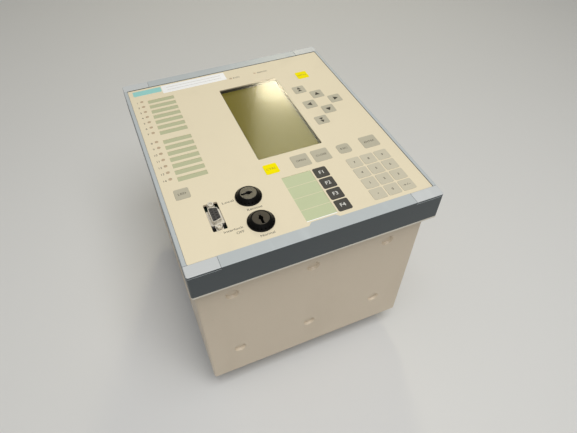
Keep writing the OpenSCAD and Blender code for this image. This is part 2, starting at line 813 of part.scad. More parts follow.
module front_plate() {
  color(case_beige) {
    difference() {
      slab(opening_w - 2 * plate_gap, opening_h - 2 * plate_gap, opening_r, plate_z, plate_top);
      front_openings(plate_z - cut, plate_top + cut);
      strip_rooms(0, plate_top - strip_t - seat_clear, plate_top + cut);
    }
    for (p = pillar_places) translate(p) rod(pillar_d, board_top, plate_z);
  }
}

module front_foil() {
  color(foil_beige) difference() {
    slab(opening_w - 2 * plate_gap, opening_h - 2 * plate_gap, opening_r, plate_top, foil_top);
    front_openings(plate_top - cut, foil_top + cut);
    for (i = [0 : 2 * led_count - 1]) translate(on_face(label_left + led_label_w / 2, led_v(i)))
      slab(led_label_w, led_label_h, label_r, plate_top - cut, foil_top + cut);
    translate(on_face(fkey_label_u, pad_top + pad_h / 2))
      slab(fkey_label_w, pad_h, label_r, plate_top - cut, foil_top + cut);
  }
}

module display_liner() {
  wide = display_w + 2 * display_overlap;
  high = display_h + 2 * display_overlap;
  color(black_plastic) translate(on_face(display_u, display_v)) difference() {
    union() {
      slab(wide, high, display_r, liner_z, plate_z);
      slab(display_w - 2 * seat_clear, display_h - 2 * seat_clear, display_r, liner_z, pane_z);
    }
    slab(display_w, display_h, display_r, pane_z, foil_top);
    slab(display_w - 2 * liner_t, display_h - 2 * liner_t, display_r - liner_t,
      liner_z - cut, pane_z + cut);
  }
}

module display_pane() {
  color(pane_clear) translate(on_face(display_u, display_v))
    slab(display_w - 2 * seat_clear, display_h - 2 * seat_clear, display_r, pane_z, pane_top);
}

module display_module() {
  color(display_olive) translate(on_face(display_u, display_v))
    slab(display_w + 2 * display_overlap, display_h + 2 * display_overlap, display_r,
      board_top, liner_z);
}

module operator_board() {
  color(board_green) {
    difference() {
      slab(opening_w - 2 * ledge_w - pillar_d, opening_h - 2 * ledge_w - pillar_d, opening_r,
        board_z, board_top);
      at_locks() rod(barrel_d + 2 * hole_clear, board_z - cut, board_top + cut);
    }
    block(column_x[0] - ribbon_t / 2, column_x[0] + ribbon_t / 2, 0, ribbon_w, board_front, board_z);
  }
}

module key_switches() {
  color(black_plastic) for (k = KEYS) translate(on_face(k[1], k[2])) difference() {
    slab(switch_w, switch_w, switch_r, board_top, switch_top);
    rod(stem_d + 2 * hole_clear, board_top - cut, switch_top + cut);
  }
}

module indicator_lamps() {
  color(lamp_red) for (p = led_places) translate(on_face(p[0], p[1])) {
    rod(led_d + 2 * lamp_foot, board_top, plate_z - seat_clear);
    rod(led_d, board_top, foil_top);
  }
}

module label_strips() {
  color(label_green) strip_rooms(seat_clear, plate_top - strip_t, plate_top);
}

// A lock's fixed part: fluted collar on the front and a barrel through the plate
module lock_barrel(v) {
  collar_z = foil_top + lock_rim_h;
  top_z = foil_top + lock_h;
  flute_at = (lock_d + lock_top_d) / 4 + flute_r;
  color(black_plastic) translate(on_face(lock_u, v)) difference() {
    union() {
      rod(lock_d, foil_top, collar_z);
      translate([0, 0, collar_z])
        cylinder(d1 = lock_d, d2 = lock_top_d, h = top_z - collar_z);
      rod(barrel_d, barrel_z, foil_top);
    }
    rod(rotor_d + 2 * turn_clear, barrel_z - cut, top_z + cut);
    for (i = [0 : flute_count - 1]) rotate(i * 360 / flute_count)
      translate([flute_at, 0, 0]) rod(2 * flute_r, collar_z, top_z + cut);
  }
}

// The part that the key turns; its slot points along the angle given
module lock_rotor(v, angle) {
  top_z = foil_top + lock_h;
  color(bare_steel) translate(on_face(lock_u, v)) rotate(angle) difference() {
    union() {
      rod(rotor_d, rotor_z, top_z);
      rod(tail_d, rotor_z - contact_h / 2, rotor_z);
    }
    rod(2 * keyhole_r, top_z - keyhole_depth, top_z + cut);
    block(-keyslot_behind, keyslot_ahead, -keyslot_w / 2, keyslot_w / 2,
      top_z - keyhole_depth, top_z + cut);
  }
}

module local_lock_barrel() { lock_barrel(lock_v[0]); }
module local_lock_rotor() { lock_rotor(lock_v[0], local_angle); }
module interlock_lock_barrel() { lock_barrel(lock_v[1]); }
module interlock_lock_rotor() { lock_rotor(lock_v[1], interlock_angle); }

module lock_nuts() {
  color(bare_steel) at_locks() difference() {
    hex(nut_af, plate_z - nut_t, plate_z);
    rod(barrel_d + 2 * hole_clear, plate_z - nut_t - cut, plate_z + cut);
  }
}

module lock_contact_blocks() {
  color(black_plastic) at_locks() difference() {
    slab(contact_w, contact_w, contact_r, barrel_z - contact_h, barrel_z);
    rod(tail_d + 2 * turn_clear, barrel_z - contact_h - cut, barrel_z + cut);
  }
}

// Outline of the port's shell: two parallel long sides and slanted short sides
module port_outline(grow) {
  slope = tan(shell_slant);
  hull() for (x = [-1, 1], y = [-1, 1]) {
    half_l = shell_l / 2 - (x + 1) / 2 * shell_w * slope;
    translate([x * (shell_w / 2 - shell_r), y * (half_l - shell_r)]) circle(shell_r + grow, $fn = 32);
  }
}

module port_shell() {
  top = port_flange_z + port_flange_t;
  color(bare_steel) translate(on_face(port_u, port_v)) difference() {
    union() {
      slab(port_w, shell_l, port_r, port_flange_z, top);
      slab(ear_w, port_l, port_r, port_flange_z, top);
      translate([0, 0, top]) linear_extrude(shell_h) port_outline(0);
    }
    translate([0, 0, port_flange_z - cut]) linear_extrude(top + shell_h) port_outline(-shell_t);
    for (y = [-1, 1]) translate([0, y * jack_pitch / 2, 0])
      rod(post_bore + 2 * hole_clear, port_flange_z - cut, top + cut);
  }
}

module port_insert() {
  top = port_flange_z + port_flange_t + shell_h - shell_t;
  color(black_plastic) translate(on_face(port_u, port_v)) difference() {
    union() {
      slab(port_w - 2 * insert_border, jack_pitch - post_af - 2 * insert_border,
        port_r, board_top, port_flange_z);
      translate([0, 0, board_top]) linear_extrude(top - board_top)
        port_outline(-shell_t - seat_clear);
    }
    for (row = [0, 1], i = [0 : 4 - row])
      translate([(row - 0.5) * pin_rows, (i - 2 + row / 2) * pin_pitch, 0])
        rod(pin_d, top - pin_depth, top + cut);
  }
}

module port_jack_posts() {
  flange_top = port_flange_z + port_flange_t;
  top = flange_top + post_h;
  color(bare_steel) translate(on_face(port_u, port_v))
    for (y = [-1, 1]) translate([0, y * jack_pitch / 2, 0]) difference() {
      union() {
        hex(post_af, flange_top, top);
        rod(post_bore, board_top, flange_top);
      }
      rod(post_bore, top - post_bore_depth, top + cut);
    }
}

// A card in its guides; its parts stand on the side that faces +X
module card(i) {
  color(board_green) block(column_x[i] - board_t / 2, column_x[i] + board_t / 2, -board_y, board_y,
    neck_end, board_front);
}

// A box on a card: its middle along the card and up from the card's middle, its sizes, its height
module on_card(i, y, z, l, d, h) {
  x = column_x[i] + board_t / 2;
  block(x, x + h, y - l / 2, y + l / 2, card_mid + z - d / 2, card_mid + z + d / 2);
}

// A round can on a card
module can_on_card(i, y, z, d, h) {
  translate([column_x[i] + board_t / 2, y, card_mid + z]) rotate([0, 90, 0]) rod(d, 0, h);
}

module processor_board() {
  color(board_green) {
    card(0);
    for (j = [-1, 0, 1]) {
      on_card(0, chip_y + j * chip_pitch, 0, chip_w, chip_w, chip_h);
      on_card(0, memory_y + j * memory_pitch, -memory_drop, memory_w, memory_l, memory_h);
    }
    can_on_card(0, memory_y, cell_rise, cell_d, cell_h);
  }
}

module input_output_board() {
  color(board_green) {
    card(1);
    for (j = [0 : coil_count - 1], side = [-1, 1])
      on_card(1, (j - (coil_count - 1) / 2) * coil_pitch, side * coil_rows / 2, coil_w, coil_l, coil_h);
  }
}

module power_supply_board() {
  color(board_green) {
    card(2);
    on_card(2, core_y, 0, core_l, core_d, core_h);
    on_card(2, sink_y, 0, sink_l, sink_d, sink_h);
    for (j = [-1, 1], side = [-1, 1])
      can_on_card(2, can_y + j * can_pitch / 2, side * can_rows / 2, can_d, can_h);
  }
}

module card_guides() {
  slot = board_t + 2 * board_clear;
  color(guide_cream) difference() {
    for (x = column_x, top = [0, 1]) mirror([0, top, 0]) translate([x, -guide_y, 0]) {
      block(-guide_w / 2, guide_w / 2, 0, guide_base, guide_z0, guide_z1);
      for (side = [0, 1]) mirror([side, 0, 0])
        block(slot / 2, guide_w / 2, guide_base, guide_base + guide_rib, guide_z0, guide_z1);
    }
    at_dimples() rod(stud_d + 2 * hole_clear, dimple_in - cut, dimple_in + guide_base + cut);
  }
}

module terminal_blocks() {
  barrier_x = terminal_w / 2;
  color(terminal_black) difference() {
    at_blocks() {
      block(-ridge_w / 2, ridge_w / 2, -terminal_l / 2, terminal_l / 2, 0, terminal_h);
      block(-terminal_w / 2, terminal_w / 2, -terminal_l / 2, terminal_l / 2,
        terminal_ledge_z, terminal_h);
      for (i = [0 : terminal_count])
        translate([0, -terminal_l / 2 + i * (terminal_l - barrier_t) / terminal_count, 0])
          block(-barrier_x, barrier_x, 0, barrier_t, terminal_ledge_z - barrier_h, terminal_h);
      slab(terminal_w - 2 * neck_border, terminal_l - 2 * neck_border, neck_r,
        terminal_ledge_z, neck_end);
    }
    at_terminals() rod(terminal_shank_d + 2 * hole_clear, terminal_ledge_z - cut,
      terminal_ledge_z + terminal_shank_l + hole_clear);
  }
}

module terminal_screws() {
  head_z = terminal_ledge_z - terminal_head_h;
  color(bare_steel) at_terminals() difference() {
    union() {
      rod(terminal_head_d, head_z, terminal_ledge_z);
      rod(terminal_shank_d, head_z, terminal_ledge_z + terminal_shank_l);
    }
    rotate(slot_angle) block(-terminal_head_d, terminal_head_d, -slot_w / 2, slot_w / 2,
      head_z - cut, head_z + slot_depth);
  }
}

// A pan-head screw that points along +Z, with its head below z = 0
module case_screw() {
  difference() {
    union() {
      rod(screw_head_d, -screw_head_h, 0);
      rod(screw_d, -screw_head_h, screw_l);
    }
    for (a = [0, 90]) rotate(a + 45) block(-cross_l / 2, cross_l / 2, -cross_w / 2, cross_w / 2,
      -screw_head_h - cut, -screw_head_h + cross_depth);
  }
}

module case_screws() {
  color(bare_steel) {
    at_rear_screws() case_screw();
    at_corners() translate([fix_x, fix_y, well_floor_z]) rotate([180, 0, 0]) case_screw();
  }
}

module earth_stud() {
  color(stud_brass) translate([earth_x, 0, 0]) {
    hex(earth_af, terminal_h - earth_foot, terminal_h);
    rod(earth_d, terminal_h - earth_foot - earth_l, rear_in);
  }
}

// A key: cap, lip behind the plate and stem down into its switch
module key(k) {
  grow = 2 * (key_clear + key_lip);
  color(k[6]) translate(on_face(k[1], k[2])) {
    slab(k[3], k[4], k[5], lip_z, foil_top + key_proud);
    slab(k[3] + grow, k[4] + grow, k[5] + grow / 2, lip_z, lip_top);
    rod(stem_d, stem_z, lip_z);
  }
}

case_shell();
rear_plate();
panel_flange();
front_frame();
corner_covers();
front_plate();
front_foil();
display_liner();
display_pane();
display_module();
operator_board();
key_switches();
indicator_lamps();
label_strips();
local_lock_barrel();
local_lock_rotor();
interlock_lock_barrel();
interlock_lock_rotor();
lock_nuts();
lock_contact_blocks();
port_shell();
port_insert();
port_jack_posts();
processor_board();
input_output_board();
power_supply_board();
card_guides();
terminal_blocks();
terminal_screws();
case_screws();
earth_stud();
for (k = KEYS) key(k);
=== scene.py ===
"""Looks of a half-rack protection relay: its films, keys, locks, case and a plain studio."""

import itertools
import json
import math

import bmesh
import bpy
from mathutils import Matrix, Quaternion, Vector


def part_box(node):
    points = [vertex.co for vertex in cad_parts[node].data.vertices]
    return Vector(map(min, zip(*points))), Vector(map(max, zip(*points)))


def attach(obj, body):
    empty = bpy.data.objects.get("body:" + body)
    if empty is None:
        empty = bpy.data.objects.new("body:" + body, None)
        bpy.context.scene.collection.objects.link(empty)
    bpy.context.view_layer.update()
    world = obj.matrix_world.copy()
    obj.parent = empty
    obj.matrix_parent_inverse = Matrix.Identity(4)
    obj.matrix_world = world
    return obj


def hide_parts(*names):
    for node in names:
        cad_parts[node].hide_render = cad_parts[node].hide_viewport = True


bl_info = {
    "name": "Protection relay looks",
    "version": (1, 0, 0),
    "blender": (4, 5, 0),
    "location": "3D View > Sidebar > Relay",
    "description": "Dresses the relay with its films, keys, locks and case, in a plain studio",
    "category": "Object",
}

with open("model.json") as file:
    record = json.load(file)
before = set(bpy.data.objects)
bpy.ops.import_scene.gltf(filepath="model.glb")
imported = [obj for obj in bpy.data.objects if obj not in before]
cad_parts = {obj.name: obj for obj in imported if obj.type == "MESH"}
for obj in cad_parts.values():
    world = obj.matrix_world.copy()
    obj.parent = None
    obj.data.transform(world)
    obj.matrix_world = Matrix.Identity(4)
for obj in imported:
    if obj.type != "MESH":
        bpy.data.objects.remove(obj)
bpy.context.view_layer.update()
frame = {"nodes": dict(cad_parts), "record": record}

MM = 0.001
FRONT_LOW, FRONT_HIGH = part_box("corner_covers")
FILM_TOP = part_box("front_foil")[1].z
ROOT_BODY = "relay"


# Settings that a user would change

def linear(level):
    """A colour channel from 0 to 255, as light."""
    ratio = level / 255
    return ratio / 12.92 if ratio <= 0.04045 else ((ratio + 0.055) / 1.055) ** 2.4


def colour(label, what, *levels):
    """A colour setting; its default is given in levels from 0 to 255."""
    return bpy.props.FloatVectorProperty(
        name=label,
        description=what,
        subtype="COLOR",
        size=3,
        min=0.0,
        max=1.0,
        default=[linear(level) for level in levels],
    )


def length(label, what, default):
    """A length setting in metres; its default is given in millimetres."""
    return bpy.props.FloatProperty(
        name=label, description=what, default=default * MM, unit="LENGTH", precision=5
    )


def share(label, what, default):
    """A setting from 0 to 1."""
    return bpy.props.FloatProperty(
        name=label, description=what, default=default, min=0.0, max=1.0, subtype="FACTOR"
    )


def power(label, what, default):
    """A light's power in watts."""
    return bpy.props.FloatProperty(name=label, description=what, default=default, unit="POWER")


class RelayColours(bpy.types.PropertyGroup):
    """Colours of the relay's finishes"""

    film: colour("Film", "Printed film on the front", 231, 219, 190)
    # Frame front and cover front are the frame's plastic made lighter on its forward faces: a
    # painted sheen
    rail: colour("Frame front", "Lacquer on the front of the frame", 186, 192, 193)
    cover: colour("Cover front", "Lacquer on the front of the corner covers", 200, 203, 203)
    shell: colour("Frame side", "Moulded sides of the frame and its covers", 64, 72, 75)
    case: colour("Case", "Paint of the sheet case", 223, 208, 185)
    key: colour("Key", "Keypad", 203, 196, 174)
    command: colour("Command key", "Command and arrow keys", 187, 181, 160)
    yellow: colour("Yellow key", "Menu and control keys", 250, 233, 2)
    dark: colour("Dark key", "Function keys", 72, 70, 65)
    label: colour("Lamp label", "Label strips beside the lamps", 187, 189, 154)
    function_label: colour("Function label", "Label strip beside the function keys", 195, 203, 164)
    glass: colour("Display", "Olive field of the display", 140, 127, 26)
    lens: colour("Lamp", "Unlit lens of a lamp", 196, 174, 145)
    black: colour("Black plastic", "Locks and liner", 13, 12, 11)
    insert: colour("Port insert", "Face of the port's insert", 66, 64, 62)
    rotor: colour("Rotor", "Face of the lower lock's rotor", 97, 92, 86)
    # Upper lock's rotor: the rotor metal made lighter, a painted highlight
    worn_rotor: colour("Worn rotor", "Rubbed face of the upper lock's rotor", 130, 126, 118)
    terminal: colour("Terminal", "Terminal blocks", 44, 46, 50)
    steel: colour("Steel", "Plated screws", 176, 177, 174)
    tin: colour("Tin", "Bright plating of flange and port", 228, 222, 208)
    brass: colour("Brass", "Earth stud", 200, 165, 92)
    plate: colour("Name plate", "Bare plate at the upper left", 154, 212, 207)
    paper: colour("Sticker", "Bare paper sticker at the top", 251, 251, 250)
    ink: colour("Ink", "Dark print", 66, 62, 54)
    dark_ink: colour("Dark ink", "Arrows on the keys", 34, 30, 24)
    pale_ink: colour("Pale ink", "Print on dark keys and terminals", 216, 215, 208)
    faint_ink: colour("Faint ink", "Ruled lines on the sticker", 178, 174, 166)
    olive_ink: colour("Olive ink", "Print on yellow keys", 150, 136, 12)
    # Board green darkened so that the board seen in the port's corners reads as shade: the board's
    # own green plus painted shade
    board: colour("Board", "Circuit boards", 28, 46, 37)
    guide: colour("Guide", "Card guides", 217, 214, 204)
    floor: colour("Floor", "Studio floor", 226, 226, 224)


class RelaySizes(bpy.types.PropertyGroup):
    """Sizes of the details that the looks add"""

    key_rim: length("Key rim", "Rounding around the top of a key", 0.18)
    key_corner: length("Key corner", "Corner radius of a key", 1.5)
    dark_corner: length("Function key corner", "Corner radius of a function key", 1.6)
    escape_corner: length("Escape key corner", "Corner radius of the escape key", 3.0)
    key_lip: length("Key lip", "Reach of a key's lip past its cap", 0.31)
    key_lip_top: length("Lip depth", "Depth of the lip's top below the film", 2.05)
    key_lip_depth: length("Lip foot", "Depth of the lip's foot below the film", 2.85)
    key_stem: length("Stem", "Diameter of a key's stem", 3.0)
    print_height: length("Print", "Thickness of printed marks", 0.03)
    number_height: length("Lamp number", "Height of the lamp numbers", 2.5)
    word_height: length("Word", "Height of the words on the film", 2.3)
    digit_height: length("Digit", "Height of the digits on the keypad", 2.5)
    command_height: length("Command", "Height of the words on the command keys", 2.2)
    function_height: length("Function", "Height of the legends on the function keys", 4.0)
    number_first: length("First number", "First lamp number below the top edge", 35.75)
    number_pitch: length("Number pitch", "Distance between lamp numbers", 9.1)
    number_group: length("Number group", "Distance from one group of numbers to the next", 69.2)
    plate_width: length("Plate width", "Width of the bare name plate", 29.5)
    plate_height: length("Plate height", "Height of the bare name plate", 8.6)
    sticker_width: length("Sticker width", "Width of the bare sticker", 70.0)
    sticker_height: length("Sticker height", "Height of the bare sticker", 14.2)
    sheet_thickness: length("Sheet", "Thickness of name plate and sticker", 0.12)
    strip_width: length("Function strip", "Width of the function label strip's window", 27.6)
    strip_border: length("Strip border", "Reach of the strip past its window", 0.85)
    line_width: length("Line", "Width of the printed lines on strip and sticker", 0.4)
    # The pale end stands for the bright cut edge of the strip: a painted highlight
    strip_end_highlight: length("Strip end", "Height of the pale end of the function strip", 1.1)
    terminal_number: length("Terminal number", "Height of the numbers on the terminals", 2.3)


class RelayStage(bpy.types.PropertyGroup):
    """Floor, light and camera"""

    lens: bpy.props.FloatProperty(
        name="Lens", description="Focal length of the camera", default=29.36, unit="CAMERA"
    )
    roll: bpy.props.FloatProperty(
        name="Roll", description="Turn of the camera about its view", default=math.radians(0.506),
        subtype="ANGLE",
    )
    place: bpy.props.FloatVectorProperty(
        name="Camera", description="Camera, from the middle of the front", subtype="TRANSLATION",
        unit="LENGTH", default=(-0.120215, -0.338190, 0.286364),
    )
    aim: bpy.props.FloatVectorProperty(
        name="View", description="Direction in which the camera looks", subtype="DIRECTION",
        default=(0.26203, 0.60804, -0.74942),
    )
    sky: share("Sky", "Strength of the even light from all around", 0.2)
    key_power: power("Key light", "Power of the large soft light overhead", 1.6)
    fill_power: power("Fill light", "Power of the soft light above the camera", 13.9)
    window_power: power("Window light", "Power of the wide light that the display mirrors", 0.98)
    lamp_power: power("Lamp light", "Power of the small light that the display mirrors", 2.35)


def colours():
    return bpy.context.scene.relay_colours


def sizes():
    return bpy.context.scene.relay_sizes


# Finishes

class Wire:
    """A socket of a finish; sums and products of wires add Math nodes."""

    def __init__(self, finish, socket):
        self.finish = finish
        self.socket = socket

    def maths(self, operation, first, second):
        return self.finish.node("ShaderNodeMath", {"operation": operation}, {0: first, 1: second})

    def __add__(self, other):
        return self.maths("ADD", self, other)

    def __sub__(self, other):
        return self.maths("SUBTRACT", self, other)

    def __rsub__(self, other):
        return self.maths("SUBTRACT", other, self)

    def __mul__(self, other):
        return self.maths("MULTIPLY", self, other)

    __radd__ = __add__
    __rmul__ = __mul__


class Finish:
    """A material that is being made, around one Principled shader."""

    # Sockets of a Mix node that blends colours
    MIX_FIRST, MIX_SECOND, MIX_RESULT = 6, 7, 2

    def __init__(self, name):
        self.material = bpy.data.materials.new(name)
        self.material.use_nodes = True
        self.tree = self.material.node_tree
        self.shader = self.tree.nodes["Principled BSDF"]
        self.place = self.node("ShaderNodeTexCoord", {}, {}, "Object")

    def connect(self, socket, value):
        if isinstance(value, Wire):
            self.tree.links.new(value.socket, socket)
        else:
            socket.default_value = value

    def node(self, kind, settings, sockets, output=0):
        """Adds a node: its settings first, then the values or wires of its sockets."""
        made = self.tree.nodes.new(kind)
        for key, value in settings.items():
            if key == "stops":
                for stop, (position, level) in zip(made.color_ramp.elements, value):
                    stop.position = position
                    stop.color = (level, level, level, 1.0)
            else:
                setattr(made, key, value)
        for key, value in sockets.items():
            self.connect(made.inputs[key], value)
        return Wire(self, made.outputs[output])

    def noise(self, scale, detail=2.0, stretch=None):
        """Noise from 0 to 1, with the given number of waves in a metre."""
        place = self.place
        if stretch:
            place = self.node("ShaderNodeMapping", {}, {"Vector": place, "Scale": stretch})
        return self.node(
            "ShaderNodeTexNoise", {}, {"Vector": place, "Scale": scale, "Detail": detail}, "Fac"
        )

    def ramp(self, value, low, high):
        """0 below low, 1 above high."""
        return self.node("ShaderNodeValToRGB", {"stops": ((low, 0.0), (high, 1.0))}, {"Fac": value})

    def mix(self, first, second, factor):
        """A colour between two, given as three levels of light or as wires."""
        sockets = {
            "Factor": factor,
            self.MIX_FIRST: self.opaque(first),
            self.MIX_SECOND: self.opaque(second),
        }
        return self.node("ShaderNodeMix", {"data_type": "RGBA"}, sockets, self.MIX_RESULT)

    @staticmethod
    def opaque(tint):
        return tint if isinstance(tint, Wire) else (*tint[:3], 1.0)

    def bump(self, height, depth, strength):
        """Relief of the given depth in millimetres."""
        sockets = {"Height": height, "Distance": depth * MM, "Strength": strength}
        return self.node("ShaderNodeBump", {}, sockets)

    def surface(self, sockets):
        for key, value in sockets.items():
            self.connect(self.shader.inputs[key], value)
        return self.material


def shade(tint, factor):
    """A colour made darker or lighter."""
    return [min(level * factor, 1.0) for level in tint[:3]]


def moulded(name, tint, rough, gloss=0.5):
    """Moulded plastic: eroded mould grain, slow tint drift and rubbed patches."""
    finish = Finish(name)
    drift = finish.noise(14.0)
    rubbed = finish.ramp(finish.noise(55.0, 6.0), 0.45, 0.75)
    skin = finish.noise(1500.0, 3.0)
    body = finish.mix(shade(tint, 0.93), shade(tint, 1.06), drift)
    return finish.surface({
        "Base Color": finish.mix(body, shade(tint, 1.12), rubbed * 0.35),
        "Roughness": rubbed * -0.08 + skin * 0.08 + (rough - 0.02),
        "Normal": finish.bump(skin, 0.03, 0.5),
        "Specular IOR Level": gloss,
    })


def frame_shell(name, tint, gloss=0.45):
    """The frame's satin plastic: slow tint drift, fine mould grain and drawn-out scuffs."""
    finish = Finish(name)
    drift = finish.noise(11.0)
    scuffs = finish.ramp(finish.noise(90.0, 8.0, (1.0, 0.2, 1.0)), 0.56, 0.8)
    skin = finish.noise(1300.0, 3.0)
    body = finish.mix(shade(tint, 0.94), shade(tint, 1.05), drift)
    return finish.surface({
        "Base Color": finish.mix(body, shade(tint, 1.2), scuffs * 0.4),
        "Roughness": scuffs * 0.1 + skin * 0.06 + 0.32,
        "Normal": finish.bump(skin, 0.012, 0.4),
        "Specular IOR Level": gloss,
    })


def film(name, tint, rough=0.52, gloss=0.28):
    """Matt printed film with a fine pearl and faint handling marks."""
    finish = Finish(name)
    drift = finish.noise(8.0, 3.0)
    marks = finish.ramp(finish.noise(38.0, 7.0), 0.55, 0.85)
    pearl = finish.noise(2600.0, 2.0)
    body = finish.mix(shade(tint, 0.965), shade(tint, 1.025), drift)
    return finish.surface({
        "Base Color": finish.mix(body, shade(tint, 0.9), marks * 0.35),
        "Roughness": marks * 0.1 + pearl * 0.08 + (rough - 0.05),
        "Normal": finish.bump(pearl, 0.02, 0.5),
        "Specular IOR Level": gloss,
    })


def case_paint(name, tint):
    """Baked paint on sheet: orange peel, slow tint drift and a few dull streaks."""
    finish = Finish(name)
    drift = finish.noise(7.0, 3.0)
    streaks = finish.ramp(finish.noise(26.0, 6.0, (1.0, 1.0, 0.3)), 0.52, 0.8)
    specks = finish.ramp(finish.noise(420.0, 2.0), 0.7, 0.76)
    peel = finish.noise(480.0, 2.0)
    dust = finish.noise(2400.0, 2.0)
    body = finish.mix(shade(tint, 0.95), shade(tint, 1.04), drift)
    stained = finish.mix(body, shade(tint, 0.86), streaks * 0.3)
    return finish.surface({
        "Base Color": finish.mix(stained, shade(tint, 0.7), specks * 0.25),
        "Roughness": streaks * 0.12 + dust * 0.06 + 0.38,
        "Normal": finish.bump(peel + dust * 0.25, 0.05, 0.5),
    })


def plated(name, tint, rough, metal=1.0):
    """Plated metal with fine drawn lines and cloudy passivation; less metal makes it duller."""
    finish = Finish(name)
    lines = finish.noise(900.0, 3.0, (1.0, 0.06, 1.0))
    cloud = finish.noise(60.0, 4.0)
    return finish.surface({
        "Base Color": finish.mix(shade(tint, 0.85), shade(tint, 1.08), cloud),
        "Metallic": metal,
        "Roughness": cloud * 0.16 + lines * 0.1 + (rough - 0.1),
        "Normal": finish.bump(lines, 0.012, 0.5),
    })


def display_field(name, tint):
    """Unlit liquid-crystal field: an olive that drifts a little, with a soft sheen."""
    finish = Finish(name)
    cloud = finish.noise(16.0, 2.0)
    grain = finish.noise(1800.0, 2.0)
    body = finish.mix(shade(tint, 0.9), shade(tint, 1.12), cloud)
    return finish.surface({
        "Base Color": finish.mix(body, shade(tint, 0.94), grain * 0.5),
        "Roughness": cloud * 0.1 + 0.4,
        "Specular IOR Level": 0.2,
    })


def clear_pane(name, tint):
    """Clear pane over that tint, with an anti-glare skin, which spreads what it mirrors."""
    finish = Finish(name)
    smear = finish.noise(45.0, 6.0)
    skin = finish.noise(2200.0, 2.0)
    dim = shade(tint, 0.2)
    material = finish.surface({
        "Base Color": finish.mix(shade(dim, 0.9), shade(dim, 1.1), smear),
        "Roughness": smear * 0.03 + skin * 0.03 + 0.12,
        "Alpha": 0.15,
        "IOR": 1.9,
        "Specular IOR Level": 1.0,
    })
    material.surface_render_method = "BLENDED"
    return material


def lamp_lens(name, tint):
    """Unlit lens, glossy over a cloudy body."""
    finish = Finish(name)
    cloud = finish.noise(700.0, 3.0)
    return finish.surface({
        "Base Color": finish.mix(shade(tint, 0.75), shade(tint, 1.2), cloud),
        "Roughness": cloud * 0.12 + 0.28,
        "Coat Weight": 0.15,
    })


def circuit_board(name, tint):
    """Green solder mask over a net of tracks."""
    finish = Finish(name)
    cells = finish.node(
        "ShaderNodeTexVoronoi", {"feature": "DISTANCE_TO_EDGE"},
        {"Vector": finish.place, "Scale": 260.0}, "Distance",
    )
    tracks = 1 - finish.ramp(cells, 0.03, 0.09)
    return finish.surface({
        "Base Color": finish.mix(tint, shade(tint, 1.5), tracks),
        "Roughness": tracks * 0.1 + 0.35,
        "Normal": finish.bump(tracks, 0.03, 0.6),
    })


def printed(name, tint):
    """Screen-printed ink, slightly uneven."""
    finish = Finish(name)
    cover = finish.noise(900.0, 3.0)
    return finish.surface({
        "Base Color": finish.mix(shade(tint, 0.85), shade(tint, 1.2), cover),
        "Roughness": cover * 0.1 + 0.45,
    })


def paper(name, tint):
    """Coated paper, faintly cockled."""
    finish = Finish(name)
    fibre = finish.noise(1200.0, 4.0)
    cockle = finish.noise(60.0, 2.0)
    return finish.surface({
        "Base Color": finish.mix(shade(tint, 0.94), shade(tint, 1.0), fibre * 0.5 + cockle * 0.5),
        "Roughness": fibre * 0.1 + 0.35,
        "Normal": finish.bump(cockle, 0.3, 0.3),
    })


# Each finish: how it is made, the colour setting that it takes, and its options
FINISHES = {
    "case_paint": (case_paint, "case", {}),
    # Forward faces of frame and covers take lighter copies of the side plastic: painted sheen
    "frame_front": (frame_shell, "rail", {"gloss": 0.25}),
    "cover_front": (frame_shell, "cover", {"gloss": 0.25}),
    "frame_side": (frame_shell, "shell", {}),
    "front_film": (film, "film", {}),
    "key_light": (film, "key", {"rough": 0.5}),
    "key_command": (film, "command", {"rough": 0.5}),
    "key_yellow": (film, "yellow", {"rough": 0.45, "gloss": 0.02}),
    "key_dark": (film, "dark", {"rough": 0.5}),
    "label_film": (film, "label", {"rough": 0.45}),
    "function_label": (film, "function_label", {"rough": 0.45}),
    "name_plate": (film, "plate", {"rough": 0.35}),
    "sticker_paper": (paper, "paper", {}),
    "ink": (printed, "ink", {}),
    "dark_ink": (printed, "dark_ink", {}),
    "pale_ink": (printed, "pale_ink", {}),
    "faint_ink": (printed, "faint_ink", {}),
    "olive_ink": (printed, "olive_ink", {}),
    "display_field": (display_field, "glass", {}),
    "clear_pane": (clear_pane, "glass", {}),
    "lamp_lens": (lamp_lens, "lens", {}),
    "black_plastic": (moulded, "black", {"rough": 0.3, "gloss": 0.12}),
    "insert_plastic": (moulded, "insert", {"rough": 0.4}),
    "terminal_plastic": (moulded, "terminal", {"rough": 0.45}),
    "guide_plastic": (moulded, "guide", {"rough": 0.5}),
    "rotor_metal": (plated, "rotor", {"rough": 0.4}),
    # Lighter rotor finish: painted highlight
    "worn_rotor": (plated, "worn_rotor", {"rough": 0.4}),
    "plated_steel": (plated, "steel", {"rough": 0.32}),
    "bright_tin": (plated, "tin", {"rough": 0.36, "metal": 0.3}),
    "brass": (plated, "brass", {"rough": 0.3}),
    # Board finish takes the green darkened as painted shade
    "circuit_board": (circuit_board, "board", {}),
}


def finish_named(name):
    """The finish of that name, made on its first use."""
    key = "finish_" + name
    made = bpy.data.materials.get(key)
    if made:
        return made
    make, setting, options = FINISHES[name]
    return make(key, getattr(colours(), setting), **options)


# Modelling

# Edges that bend less are shaded smooth
SMOOTH_BELOW = math.radians(38)
# Points that are closer are one
WELD = 1e-6
# Faces that bend less are one
FLAT = math.radians(0.3)
# Faces whose normals have more of +Z get the lighter front finish, a painted sheen
SHEEN_FACING = 0.5
# Segments of rounded corners, soft rims, broken edges and round bars
CORNER_STEPS, RIM_STEPS, EDGE_STEPS, BAR_STEPS = 6, 3, 2, 32


def bevel(bm, edges, width, steps):
    bmesh.ops.bevel(
        bm, geom=edges, offset=width, offset_type="OFFSET", affect="EDGES", segments=steps,
        profile=0.5, material=-1, clamp_overlap=True,
    )


